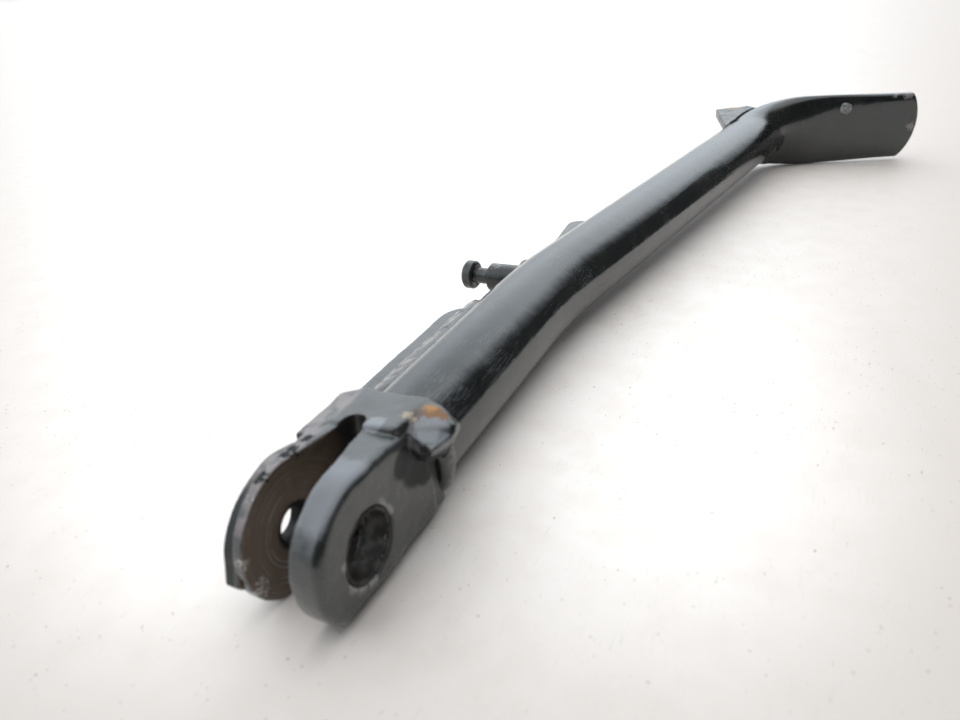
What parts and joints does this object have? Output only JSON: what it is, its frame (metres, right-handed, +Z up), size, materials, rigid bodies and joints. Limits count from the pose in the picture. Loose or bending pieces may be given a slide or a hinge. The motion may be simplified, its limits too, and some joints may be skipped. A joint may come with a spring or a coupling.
{
  "type": "motorcycle kickstand leg",
  "caption": "Side stand leg: forged clevis with a stop lug, gently bent black tube ending in a flattened foot, headed post for the return spring and a tang for the boot.",
  "frame": {"origin": "middle of the underside of the leg's bounding box, with the leg lying on its side", "axes": "+X runs from the pivot along the leg to the foot, +Y is along the pivot axis from the near ear with the bush to the far ear, +Z is up with the leg lying on its side"},
  "size_m": [0.343, 0.1218, 0.0335],
  "materials": {
    "gloss_black_paint": "gloss",
    "painted_forging": "satin",
    "bare_steel": "worn",
    "painted_weld": "satin"
  },
  "bodies": {
    "pivot": {"pivot_bush": "bare_steel"},
    "leg": {"clevis_fork": "painted_forging", "leg_tube": "gloss_black_paint", "cam_plate": "painted_forging", "stiffener_plate": "painted_forging", "stiffener_weld_upper": "painted_weld", "stiffener_weld_lower": "painted_weld", "spring_post": "bare_steel", "post_weld": "painted_weld", "spring_guard_lug": "painted_forging", "lug_weld": "painted_weld", "kick_tang": "painted_forging", "tang_weld": "painted_weld", "foot_plug_weld": "bare_steel", "clevis_weld": "painted_weld"}
  },
  "joints": [
    {"name": "leg_swing", "type": "hinge", "parent": "pivot", "child": "leg", "pos_m": [-0.15728, 0.03234, 0.01847], "axis": [0, -1, 0], "range_deg": [0, 105]}
  ]
}
